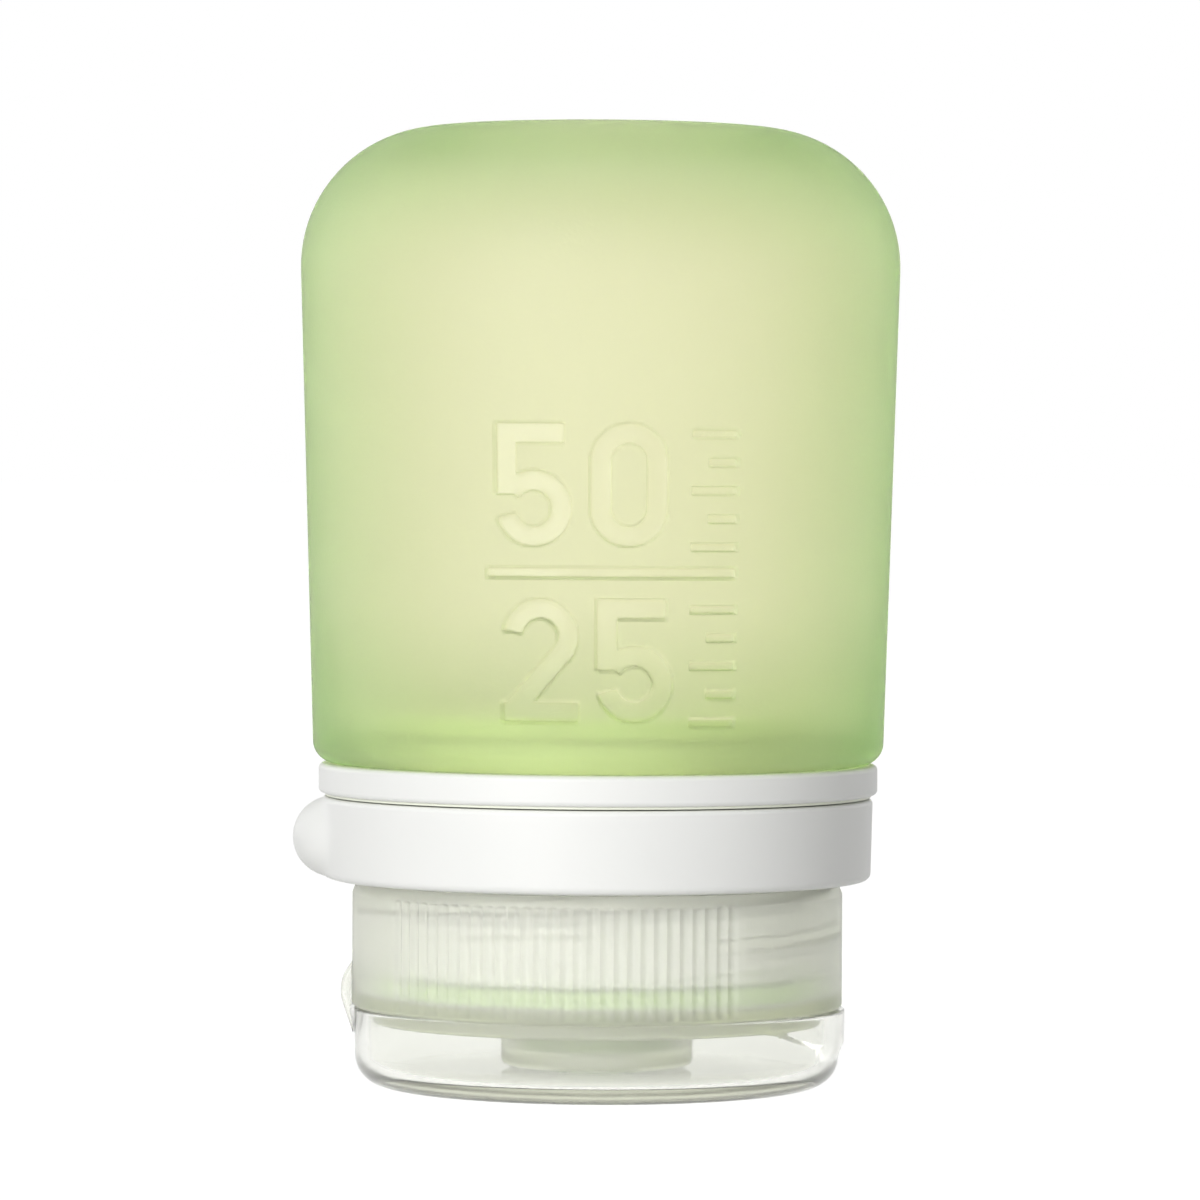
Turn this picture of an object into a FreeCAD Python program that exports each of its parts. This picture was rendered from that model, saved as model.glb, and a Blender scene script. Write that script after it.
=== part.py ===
"""Silicone travel bottle standing on its flip-top cap. Lengths are in millimetres.

The bottle's axis is Z and the floor is z = 0. From the floor up come the flip lid, the screw
cap, the swivel ring with its thumb lug, the clamp collar and the squeeze body. The thumb lug
points to -X. The lid's thumb tab points near +X and its hinge near -X.
"""
import FreeCAD
import Part

import math
import os

# Heights of the stack, from the floor up
LID_HEIGHT = 6.0
RIM_GAP = 0.1
SKIRT_HEIGHT = 9.65
RING_GAP = 0.2
RING_HEIGHT = 6.3
WASHER_PLAY = 0.1
WASHER_THICKNESS = 0.2
COLLAR_HEIGHT = 2.3
BODY_HEIGHT = 49.0

# Radii, each built on the one inside it
NECK_BORE_RADIUS = 14.2
NECK_WALL = 2.1
THREAD_ROOM = 1.25
CAP_WALL = 1.4
LID_STEP = 0.15
RING_OVERHANG = 2.3
COLLAR_OVERHANG = 0.35
BODY_OVERHANG = 0.4
BODY_FLARE = 1.45

# Squeeze body
SIDE_WALL = 3.2
FOOT_WALL = 4.3
FOOT_RAMP = 9.0
RAMP_ROUND = 12.0
BASE_WALL = 4.0
BASE_MIDDLE = 1.6
DOME_INSET = 0.5
MOUTH_LIP = 2.6
BASE_ROUND = 10.7
FOOT_ROUND = 1.7
MOUTH_FIT = 0.1

# Neck insert
FLANGE_THICKNESS = 1.6
FLANGE_CLEARANCE = 0.1
FLANGE_COVER = 0.2
FLANGE_ROUND = 0.5
BEAD_HEIGHT = 0.5
BEAD_REACH = 0.6
BEAD_GAP = 0.1
NECK_END_ROUND = 0.4

# Clamp collar and slip washer
COLLAR_FIT = 0.05
COLLAR_ROUND = 0.35
WASHER_INSET = 0.15

# Swivel ring and its lug
RING_PLAY = 0.1
HUB_WALL = 1.3
RING_WALL = 1.6
RING_WEB = 1.5
RING_DRAFT = 0.15
RING_TOP_ROUND = 0.4
RING_FOOT_ROUND = 0.6
CHANNEL_ROUND = 0.4
LUG_REACH = 2.35
LUG_PLAN_RADIUS = 7.0
LUG_NOSE_ROUND = 3.0

# Cap base
CAP_TURN_DEG = -10.0
SPIGOT_HEIGHT = 1.2
SPIGOT_CLEARANCE = 0.35
DECK_THICKNESS = 1.5
SEAL_LAND = 0.6
LAND_WIDTH = 3.4
SKIRT_CHAMFER_WIDTH = 0.35
SKIRT_CHAMFER_HEIGHT = 0.9
SHOULDER_ROUND = 0.25
SPIGOT_ROUND = 0.3
BOSS_ROUND = 0.5
BOSS_WALL = 1.25
BOSS_FLOOR = 1.3
BOSS_CLEARANCE = 0.25
ORIFICE_RADIUS = 3.4

# Grip ribs, left standing between grooves on two sides of the cap
RIBS_PER_SIDE = 29
RIB_PITCH_DEG = 3.05
GROOVE_DEPTH = 0.3
GROOVE_WIDTH = 0.5
RIB_END_MARGIN = 0.45

# Seal ring
SEAL_HEIGHT = 1.45
SEAL_CLEARANCE = 0.05
SEAL_PLAY = 0.35
SEAL_WIDTH = 2.9
SEAL_ROUND = 0.4

# Drip valve and its retainer
VALVE_RADIUS = 6.0
VALVE_FLANGE = 1.0
POCKET_CLEARANCE = 0.15
DOME_RADIUS = 3.6
DOME_RISE = 1.3
DOME_SKIN = 0.6
SLIT_WIDTH = 0.2
SLIT_LENGTH = 4.4
RETAINER_FIT = 0.05
RETAINER_WALL = 1.7
RETAINER_ROUND = 0.3

# Flip lid
LID_DRAFT = 0.15
LID_WALL = 1.1
LID_PLATE = 1.3
LID_EDGE_ROUND = 2.3
LID_INNER_ROUND = 1.2
LID_RIM_ROUND = 0.2
PLUG_CLEARANCE = 0.3
PLUG_WALL = 0.8
PLUG_ENTRY = 0.7
PLUG_ROUND = 0.25
TAB_REACH = 0.4
TAB_DROP = 2.95
TAB_HALF_ANGLE_DEG = 44.0

# Hinge strap
STRAP_REACH = 0.85
STRAP_ABOVE = 3.4
STRAP_BELOW = 2.1
STRAP_SHOULDER = 1.4
STRAP_BEND = 1.0
STRAP_FOOT = 0.6
STRAP_RELIEF = 0.15
STRAP_FIT = 0.05
STRAP_ROUND = 2.2
STRAP_HALF_ANGLE_DEG = 13.0

# Every cut runs past its face by this much
OVERRUN = 1.0

# Heights worked out from the stack
SHOULDER_Z = LID_HEIGHT + RIM_GAP
SKIRT_TOP_Z = SHOULDER_Z + SKIRT_HEIGHT
RING_Z = SKIRT_TOP_Z + RING_GAP
RING_TOP_Z = RING_Z + RING_HEIGHT
WASHER_Z = RING_TOP_Z + WASHER_PLAY
COLLAR_Z = WASHER_Z + WASHER_THICKNESS
BODY_Z = COLLAR_Z + COLLAR_HEIGHT
BODY_TOP_Z = BODY_Z + BODY_HEIGHT
LIP_TOP_Z = BODY_Z + MOUTH_LIP
DECK_FACE_Z = SHOULDER_Z - SPIGOT_HEIGHT
DECK_BACK_Z = DECK_FACE_Z + DECK_THICKNESS
LAND_Z = DECK_BACK_Z + SEAL_LAND
SEAL_Z = LAND_Z + SEAL_CLEARANCE
NECK_END_Z = SEAL_Z + SEAL_HEIGHT + SEAL_CLEARANCE
BOSS_TIP_Z = LID_PLATE + BOSS_CLEARANCE
POCKET_Z = BOSS_TIP_Z + BOSS_FLOOR
VALVE_TOP_Z = POCKET_Z + VALVE_FLANGE

# Radii worked out from the neck outwards
NECK_RADIUS = NECK_BORE_RADIUS + NECK_WALL
SKIRT_BORE_RADIUS = NECK_RADIUS + THREAD_ROOM
CAP_RADIUS = SKIRT_BORE_RADIUS + CAP_WALL
LID_RIM_RADIUS = CAP_RADIUS - LID_STEP
LID_FOOT_RADIUS = LID_RIM_RADIUS - LID_DRAFT
RING_RADIUS = CAP_RADIUS + RING_OVERHANG
COLLAR_RADIUS = RING_RADIUS + COLLAR_OVERHANG
BODY_FOOT_RADIUS = COLLAR_RADIUS + BODY_OVERHANG
BODY_TOP_RADIUS = BODY_FOOT_RADIUS + BODY_FLARE
FOOT_SEAT_RADIUS = BODY_FOOT_RADIUS - FOOT_WALL
SPIGOT_RADIUS = LID_RIM_RADIUS - LID_WALL - SPIGOT_CLEARANCE
POCKET_RADIUS = VALVE_RADIUS + POCKET_CLEARANCE
BOSS_RADIUS = POCKET_RADIUS + BOSS_WALL
SEAL_RADIUS = SKIRT_BORE_RADIUS - SEAL_PLAY
HUB_BORE_RADIUS = NECK_RADIUS + RING_PLAY

ORIGIN = FreeCAD.Vector(0, 0, 0)
UP = FreeCAD.Vector(0, 0, 1)
RIGHT = FreeCAD.Vector(1, 0, 0)


def section_edges(corners):
    """Lines and corner arcs of a closed outline of (radius, height, corner round) in the XZ plane."""
    points = [FreeCAD.Vector(radius, 0, height) for radius, height, _ in corners]
    starts, ends, edges = [], [], []
    for index, (_, _, corner_round) in enumerate(corners):
        here = points[index]
        back = (points[index - 1] - here).normalize()
        ahead = (points[(index + 1) % len(points)] - here).normalize()
        half_turn = back.getAngle(ahead) / 2
        setback = corner_round / math.tan(half_turn)
        starts.append(here + back * setback)
        ends.append(here + ahead * setback)
        if corner_round > 0:
            middle = (back + ahead).normalize()
            nearest = corner_round / math.sin(half_turn) - corner_round
            edges.append(Part.Arc(starts[-1], here + middle * nearest, ends[-1]).toShape())
    for index, end in enumerate(ends):
        start = starts[(index + 1) % len(starts)]
        if end.distanceToPoint(start) > Part.Precision.confusion():
            edges.append(Part.LineSegment(end, start).toShape())
    return edges


def turned(corners, sweep_deg=360.0):
    """A solid turned about Z from a closed outline of (radius, height, corner round)."""
    wire = Part.Wire(Part.__sortEdges__(section_edges(corners)))
    return Part.Face(wire).revolve(ORIGIN, UP, sweep_deg)


def cylinder(radius, bottom, top, shift=0):
    """An upright cylinder, its axis moved along X by the shift."""
    return Part.makeCylinder(radius, top - bottom, FreeCAD.Vector(shift, 0, bottom), UP)


def crescent_centre(radius, reach, half_angle_deg):
    """Where on X a circle is centred that meets a round wall at +/- the angle and passes it by the reach."""
    far = radius + reach
    meet = radius * math.cos(math.radians(half_angle_deg))
    return (far**2 - radius**2) / (2 * (far - meet))


def squeeze_body():
    """Thick silicone shell, domed inside its base on top, with a wall that thickens to the mouth."""
    mouth = NECK_RADIUS + MOUTH_FIT
    inner_round = BASE_ROUND - SIDE_WALL
    inner_top = BODY_TOP_RADIUS - SIDE_WALL
    inner_top_z = BODY_TOP_Z - BASE_WALL
    ramp_share = FOOT_RAMP / (inner_top_z - LIP_TOP_Z)
    ramp_radius = BODY_FOOT_RADIUS - SIDE_WALL + BODY_FLARE * ramp_share
    return turned([
        (mouth, BODY_Z, 0),
        (BODY_FOOT_RADIUS, BODY_Z, FOOT_ROUND),
        (BODY_TOP_RADIUS, BODY_TOP_Z, BASE_ROUND),
        (0, BODY_TOP_Z, 0),
        (0, BODY_TOP_Z - BASE_MIDDLE, 0),
        (inner_top - inner_round - DOME_INSET, inner_top_z, 0),
        (inner_top, inner_top_z, inner_round),
        (ramp_radius, LIP_TOP_Z + FOOT_RAMP, RAMP_ROUND),
        (FOOT_SEAT_RADIUS, LIP_TOP_Z + FLANGE_THICKNESS + FLANGE_COVER, RAMP_ROUND),
        (FOOT_SEAT_RADIUS, LIP_TOP_Z, 0),
        (mouth, LIP_TOP_Z, 0),
    ])


def neck_insert():
    """Neck sleeve with a flange that holds the silicone lip and a bead that keeps the swivel ring on."""
    flange = FOOT_SEAT_RADIUS - FLANGE_CLEARANCE
    bead = HUB_BORE_RADIUS + BEAD_REACH
    bead_top = RING_Z - BEAD_GAP
    return turned([
        (NECK_BORE_RADIUS, NECK_END_Z, 0),
        (NECK_RADIUS, NECK_END_Z, NECK_END_ROUND),
        (NECK_RADIUS, bead_top - BEAD_HEIGHT - BEAD_REACH, 0),
        (bead, bead_top - BEAD_HEIGHT, 0),
        (bead, bead_top, 0),
        (NECK_RADIUS, bead_top, 0),
        (NECK_RADIUS, LIP_TOP_Z, 0),
        (flange, LIP_TOP_Z, 0),
        (flange, LIP_TOP_Z + FLANGE_THICKNESS, FLANGE_ROUND),
        (NECK_BORE_RADIUS, LIP_TOP_Z + FLANGE_THICKNESS, FLANGE_ROUND),
    ])


def clamp_collar():
    """Thin ring on the neck that presses the silicone lip against the flange."""
    bore = NECK_RADIUS + COLLAR_FIT
    return turned([
        (bore, COLLAR_Z, 0),
        (COLLAR_RADIUS, COLLAR_Z, COLLAR_ROUND),
        (COLLAR_RADIUS, BODY_Z, COLLAR_ROUND),
        (bore, BODY_Z, 0),
    ])


def slip_washer():
    """Thin silicone washer under the collar that the swivel ring turns against."""
    bore = NECK_RADIUS + COLLAR_FIT
    outside = RING_RADIUS - WASHER_INSET
    return turned([
        (bore, WASHER_Z, 0),
        (outside, WASHER_Z, 0),
        (outside, COLLAR_Z, 0),
        (bore, COLLAR_Z, 0),
    ])


def swivel_ring():
    """Loose ring of channel section, open towards the cap, with a bull-nosed thumb lug at -X."""
    web_z = RING_TOP_Z - RING_WEB
    wall_inside = RING_RADIUS - RING_WALL
    hub_outside = HUB_BORE_RADIUS + HUB_WALL
    ring = turned([
        (wall_inside, RING_Z, 0),
        (RING_RADIUS - RING_DRAFT, RING_Z, RING_FOOT_ROUND),
        (RING_RADIUS, RING_TOP_Z, RING_TOP_ROUND),
        (HUB_BORE_RADIUS, RING_TOP_Z, 0),
        (HUB_BORE_RADIUS, RING_Z, 0),
        (hub_outside, RING_Z, 0),
        (hub_outside, web_z, CHANNEL_ROUND),
        (wall_inside, web_z, CHANNEL_ROUND),
    ])
    lug = turned([
        (0, RING_Z, 0),
        (LUG_PLAN_RADIUS, RING_Z, LUG_NOSE_ROUND),
        (LUG_PLAN_RADIUS, RING_TOP_Z, LUG_NOSE_ROUND),
        (0, RING_TOP_Z, 0),
    ])
    lug.translate(RIGHT * (LUG_PLAN_RADIUS - RING_RADIUS - LUG_REACH))
    wall_middle = wall_inside + RING_WALL / 2
    lug = lug.cut(cylinder(wall_middle, RING_Z - OVERRUN, RING_TOP_Z + OVERRUN))
    return ring.fuse(lug).removeSplitter()


def seal_ring():
    """Flat silicone gasket between the neck's end and the cap's land."""
    inside = SEAL_RADIUS - SEAL_WIDTH
    top = SEAL_Z + SEAL_HEIGHT
    return turned([
        (inside, SEAL_Z, SEAL_ROUND),
        (SEAL_RADIUS, SEAL_Z, SEAL_ROUND),
        (SEAL_RADIUS, top, SEAL_ROUND),
        (inside, top, SEAL_ROUND),
    ])


def grip_grooves():
    """V grooves side by side on the two faces of the skirt that fingers turn the cap by."""
    foot = SHOULDER_Z + RIB_END_MARGIN
    head = SKIRT_TOP_Z - SKIRT_CHAMFER_HEIGHT
    widen = GROOVE_WIDTH * (GROOVE_DEPTH + OVERRUN) / (2 * GROOVE_DEPTH)
    apex = FreeCAD.Vector(CAP_RADIUS - GROOVE_DEPTH, 0, foot)
    left = FreeCAD.Vector(CAP_RADIUS + OVERRUN, widen, foot)
    right = FreeCAD.Vector(CAP_RADIUS + OVERRUN, -widen, foot)
    groove = Part.Face(Part.makePolygon([apex, left, right, apex])).extrude(UP * (head - foot))
    grooves = []
    for side_deg in (-90, 90):
        for index in range(RIBS_PER_SIDE + 1):
            turn = side_deg + (index - RIBS_PER_SIDE / 2) * RIB_PITCH_DEG
            grooves.append(groove.rotated(ORIGIN, UP, turn))
    return grooves


def cap_base():
    """Screw cap with a ribbed skirt, a stepped deck that the lid closes on and the spout boss."""
    land_inside = SKIRT_BORE_RADIUS - LAND_WIDTH
    cap = turned([
        (ORIFICE_RADIUS, BOSS_TIP_Z, 0),
        (BOSS_RADIUS, BOSS_TIP_Z, BOSS_ROUND),
        (BOSS_RADIUS, DECK_FACE_Z, BOSS_ROUND),
        (SPIGOT_RADIUS, DECK_FACE_Z, SPIGOT_ROUND),
        (SPIGOT_RADIUS, SHOULDER_Z, 0),
        (CAP_RADIUS, SHOULDER_Z, SHOULDER_ROUND),
        (CAP_RADIUS, SKIRT_TOP_Z - SKIRT_CHAMFER_HEIGHT, 0),
        (CAP_RADIUS - SKIRT_CHAMFER_WIDTH, SKIRT_TOP_Z, 0),
        (SKIRT_BORE_RADIUS, SKIRT_TOP_Z, 0),
        (SKIRT_BORE_RADIUS, LAND_Z, 0),
        (land_inside, LAND_Z, 0),
        (land_inside, DECK_BACK_Z, 0),
        (POCKET_RADIUS, DECK_BACK_Z, 0),
        (POCKET_RADIUS, POCKET_Z, 0),
        (ORIFICE_RADIUS, POCKET_Z, 0),
    ])
    return cap.cut(grip_grooves())


def drip_valve():
    """Silicone valve: a clamped flange round a thin dome with a cross slit."""
    apex_z = VALVE_TOP_Z + DOME_RISE
    sphere_radius = (DOME_RADIUS**2 + DOME_RISE**2) / (2 * DOME_RISE)
    centre = FreeCAD.Vector(0, 0, apex_z - sphere_radius)
    dome = Part.makeSphere(sphere_radius, centre).common(cylinder(DOME_RADIUS, POCKET_Z, apex_z))
    flange = cylinder(VALVE_RADIUS, POCKET_Z, VALVE_TOP_Z)
    hollow = Part.makeSphere(sphere_radius - DOME_SKIN, centre)
    hollow = hollow.common(cylinder(DOME_RADIUS - DOME_SKIN, POCKET_Z - OVERRUN, apex_z))
    slit = Part.makeBox(SLIT_LENGTH, SLIT_WIDTH, DOME_RISE + VALVE_FLANGE)
    slit.translate(FreeCAD.Vector(-SLIT_LENGTH / 2, -SLIT_WIDTH / 2, POCKET_Z))
    valve = flange.fuse(dome).cut(hollow)
    return valve.cut([slit, slit.rotated(ORIGIN, UP, 90)]).removeSplitter()


def valve_retainer():
    """Snap ring pressed into the boss behind the valve's flange, flush with the deck."""
    outside = POCKET_RADIUS - RETAINER_FIT
    inside = outside - RETAINER_WALL
    bottom = VALVE_TOP_Z + RETAINER_FIT
    return turned([
        (inside, bottom, 0),
        (outside, bottom, RETAINER_ROUND),
        (outside, DECK_BACK_Z, 0),
        (inside, DECK_BACK_Z, RETAINER_ROUND),
    ])


def thumb_tab():
    """Raised crescent under the lid's rim for a thumb to lift, with a smile-shaped lower edge."""
    centre = crescent_centre(LID_RIM_RADIUS, TAB_REACH, TAB_HALF_ANGLE_DEG)
    radius = LID_RIM_RADIUS + TAB_REACH - centre
    bottom = LID_HEIGHT - TAB_DROP
    inside = cylinder(LID_RIM_RADIUS - LID_WALL / 2, bottom - OVERRUN, LID_HEIGHT + OVERRUN)
    tab = cylinder(radius, bottom, LID_HEIGHT, centre).cut(inside)
    half_chord = LID_RIM_RADIUS * math.sin(math.radians(TAB_HALF_ANGLE_DEG))
    smile_radius = (half_chord**2 + TAB_DROP**2) / (2 * TAB_DROP)
    smile_at = FreeCAD.Vector(0, 0, bottom + smile_radius)
    smile = Part.makeCylinder(smile_radius, LID_RIM_RADIUS + TAB_REACH + OVERRUN, smile_at, RIGHT)
    return tab.common(smile)


def flip_lid():
    """Clear lid: a shallow cup with a thumb tab, and a plug that shuts the orifice."""
    lid = turned([
        (0, 0, 0),
        (LID_FOOT_RADIUS, 0, LID_EDGE_ROUND),
        (LID_RIM_RADIUS, LID_HEIGHT, LID_RIM_ROUND),
        (LID_RIM_RADIUS - LID_WALL, LID_HEIGHT, LID_RIM_ROUND),
        (LID_FOOT_RADIUS - LID_WALL, LID_PLATE, LID_INNER_ROUND),
        (0, LID_PLATE, 0),
    ])
    plug_outside = ORIFICE_RADIUS - PLUG_CLEARANCE
    plug = turned([
        (plug_outside - PLUG_WALL, LID_PLATE / 2, 0),
        (plug_outside, LID_PLATE / 2, 0),
        (plug_outside, BOSS_TIP_Z + PLUG_ENTRY, PLUG_ROUND),
        (plug_outside - PLUG_WALL, BOSS_TIP_Z + PLUG_ENTRY, PLUG_ROUND),
    ])
    return lid.fuse([thumb_tab(), plug]).removeSplitter()


def hinge_strap():
    """Living hinge: a root on the cap's skirt that bows out and runs down past the rim to the lid."""
    reach = CAP_RADIUS + STRAP_REACH
    on_cap = CAP_RADIUS + STRAP_FIT
    on_lid = LID_RIM_RADIUS + STRAP_FIT
    top = LID_HEIGHT + STRAP_ABOVE
    bottom = LID_HEIGHT - STRAP_BELOW
    strap = turned([
        (on_cap, top, 0),
        (on_cap, SHOULDER_Z + STRAP_RELIEF, 0),
        (on_cap + STRAP_RELIEF, LID_HEIGHT - STRAP_RELIEF, 0),
        (on_lid, bottom + STRAP_FOOT, 0),
        (on_lid, bottom, 0),
        (reach, LID_HEIGHT + STRAP_BEND, STRAP_ROUND),
        (reach, top - STRAP_SHOULDER, STRAP_ROUND),
    ], 2 * STRAP_HALF_ANGLE_DEG)
    return strap.rotated(ORIGIN, UP, 180 - STRAP_HALF_ANGLE_DEG)


def with_the_cap(shape):
    """The shape turned about the bottle's axis as far as the cap is screwed round."""
    return shape.rotated(ORIGIN, UP, CAP_TURN_DEG)


PARTS = {
    "squeeze_body": squeeze_body(),
    "neck_insert": neck_insert(),
    "clamp_collar": clamp_collar(),
    "slip_washer": slip_washer(),
    "swivel_ring": swivel_ring(),
    "seal_ring": seal_ring(),
    "cap_base": with_the_cap(cap_base()),
    "drip_valve": with_the_cap(drip_valve()),
    "valve_retainer": with_the_cap(valve_retainer()),
    "hinge_strap": with_the_cap(hinge_strap()),
    "flip_lid": with_the_cap(flip_lid()),
}

os.makedirs("parts", exist_ok=True)
for name, shape in PARTS.items():
    shape.exportStep(f"parts/{name}.step")
    print(name, len(shape.Solids), "solid", shape.isValid(), round(shape.Volume, 1))
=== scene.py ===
"""A silicone travel bottle that stands on its flip-top cap, dressed for a studio picture.

Lengths are in metres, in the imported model's own frame: Z is the bottle's axis, the floor is z = 0
and the front, with the moulded numerals, faces -Y. Angles round the axis are counted from the
front, positive towards +X.
"""

import logging
import math
from dataclasses import dataclass
from enum import Enum
from typing import Any, Callable, NamedTuple, Sequence

import bmesh
import bpy
import numpy as np
from mathutils import Matrix, Vector


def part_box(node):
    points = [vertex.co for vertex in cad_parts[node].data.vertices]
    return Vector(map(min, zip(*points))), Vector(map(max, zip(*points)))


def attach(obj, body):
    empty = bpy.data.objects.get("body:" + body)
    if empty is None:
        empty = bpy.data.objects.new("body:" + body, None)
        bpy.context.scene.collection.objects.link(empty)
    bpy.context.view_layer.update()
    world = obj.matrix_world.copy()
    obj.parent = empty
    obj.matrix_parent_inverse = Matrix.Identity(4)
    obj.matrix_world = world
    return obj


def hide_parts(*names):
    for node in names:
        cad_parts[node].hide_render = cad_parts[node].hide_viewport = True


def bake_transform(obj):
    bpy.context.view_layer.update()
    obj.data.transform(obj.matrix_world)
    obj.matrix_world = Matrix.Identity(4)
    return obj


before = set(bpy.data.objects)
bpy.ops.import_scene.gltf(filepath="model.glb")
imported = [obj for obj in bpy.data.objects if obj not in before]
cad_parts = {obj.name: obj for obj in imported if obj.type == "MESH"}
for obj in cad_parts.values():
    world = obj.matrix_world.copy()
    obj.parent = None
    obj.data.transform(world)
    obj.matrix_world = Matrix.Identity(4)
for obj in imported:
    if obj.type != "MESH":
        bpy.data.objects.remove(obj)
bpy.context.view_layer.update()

LOG = logging.getLogger("travel_bottle")
MM = 0.001
CAP_TURN = math.radians(-10.0)
THREAD_PITCH = 3.5 * MM
HAIR_GAP = 0.02 * MM
CORNER_GUARD = 0.06 * MM
NO_LENGTH = 1e-9
FEWEST_STEPS = 3
SHARP_ANGLE = math.radians(38.0)
DRIFT_DETAIL, SKIN_DETAIL = 3.0, 2.0
MIX_SHARE, MIX_FIRST, MIX_SECOND, MIX_OUT = 0, 6, 7, 2
MARK = "mark"

Array = np.ndarray
Colour = tuple[float, float, float]
Place = tuple[float, float, float]
Faces = list[tuple[int, ...]]
Shift = Callable[[Array, Array, Array], Array]


class Body(str, Enum):
    """The moving bodies that a piece can ride on."""

    BOTTLE = "bottle"
    RING = "ring"
    SEAL = "seal"
    CAP = "cap"
    LID = "lid"


class Slot(str, Enum):
    """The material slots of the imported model."""

    GREEN = "green_silicone"
    SEAL = "seal_silicone"
    WHITE = "white_plastic"
    FROSTED = "frosted_plastic"
    CLEAR = "clear_plastic"


class Wire:
    """A value in a shader: one output socket, which takes part in Python arithmetic."""

    def __init__(self, tree: bpy.types.NodeTree, socket: bpy.types.NodeSocket | None) -> None:
        """Wraps the socket of a node in the tree."""
        self.tree = tree
        self.socket = socket

    def _maths(self, operation: str, first: Any, second: Any) -> "Wire":
        """Adds one Math node.

        Args:
            operation: The Math node's operation.
            first: A number or a Wire.
            second: A number or a Wire.

        Returns:
            The node's result.
        """
        settings = {"operation": operation}
        return Shading(self.tree).node("ShaderNodeMath", settings, {0: first, 1: second})

    def __add__(self, other: Any) -> "Wire":
        """This plus the other."""
        return self._maths("ADD", self, other)

    def __radd__(self, other: Any) -> "Wire":
        """The other plus this."""
        return self._maths("ADD", other, self)

    def __sub__(self, other: Any) -> "Wire":
        """This less the other."""
        return self._maths("SUBTRACT", self, other)

    def __rsub__(self, other: Any) -> "Wire":
        """The other less this."""
        return self._maths("SUBTRACT", other, self)

    def __mul__(self, other: Any) -> "Wire":
        """This times the other."""
        return self._maths("MULTIPLY", self, other)

    def __rmul__(self, other: Any) -> "Wire":
        """The other times this."""
        return self._maths("MULTIPLY", other, self)

    def most(self, other: Any) -> "Wire":
        """The larger of the two."""
        return self._maths("MAXIMUM", self, other)


class Shading:
    """Adds nodes to one node tree."""

    def __init__(self, tree: bpy.types.NodeTree) -> None:
        """Works on the given tree."""
        self.tree = tree

    @classmethod
    def fresh(cls, owner: bpy.types.Material | bpy.types.World) -> "Shading":
        """Empties a node tree and works on it.

        Args:
            owner: The material or world that has the tree.

        Returns:
            What adds nodes to the tree.
        """
        owner.use_nodes = True
        owner.node_tree.nodes.clear()
        return cls(owner.node_tree)

    def node(
        self,
        kind: str,
        settings: dict[str, Any] | None = None,
        inputs: dict[Any, Any] | None = None,
        output: int | str = 0,
    ) -> Wire:
        """Adds a node of any kind.

        Args:
            kind: The node's Blender type.
            settings: Values of the node's own properties, set first.
            inputs: Numbers, colours or Wires for its sockets, by name or index.
            output: The output that is asked for, by name or index.

        Returns:
            That output, or a Wire without a socket where the node ends the tree.
        """
        made = self.tree.nodes.new(kind)
        for name, value in (settings or {}).items():
            setattr(made, name, value)
        for name, value in (inputs or {}).items():
            if isinstance(value, Wire):
                self.tree.links.new(value.socket, made.inputs[name])
            else:
                made.inputs[name].default_value = value
        return Wire(self.tree, made.outputs[output] if made.outputs else None)

    def mark(self) -> Wire:
        """How marked the piece is, from 0 to 1."""
        return self.node("ShaderNodeAttribute", {"attribute_name": MARK}, output="Fac")

    def noise(self, scale: float, detail: float) -> Wire:
        """Noise over the piece's own coordinates.

        Args:
            scale: Waves per metre.
            detail: How many finer layers it has.

        Returns:
            The noise, from 0 to 1.
        """
        place = self.node("ShaderNodeTexCoord", output="Object")
        inputs = {"Vector": place, "Scale": scale, "Detail": detail}
        return self.node("ShaderNodeTexNoise", None, inputs)

    def blend(self, share: Wire, first: Colour | Wire, second: Colour) -> Wire:
        """A colour between two.

        Args:
            share: How far it is from the first to the second, from 0 to 1.
            first: The colour at 0, plain or one that varies.
            second: The colour at 1.

        Returns:
            The colour.
        """
        start = first if isinstance(first, Wire) else (*first, 1.0)
        inputs = {MIX_SHARE: share, MIX_FIRST: start, MIX_SECOND: (*second, 1.0)}
        return self.node("ShaderNodeMix", {"data_type": "RGBA"}, inputs, MIX_OUT)


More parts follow.
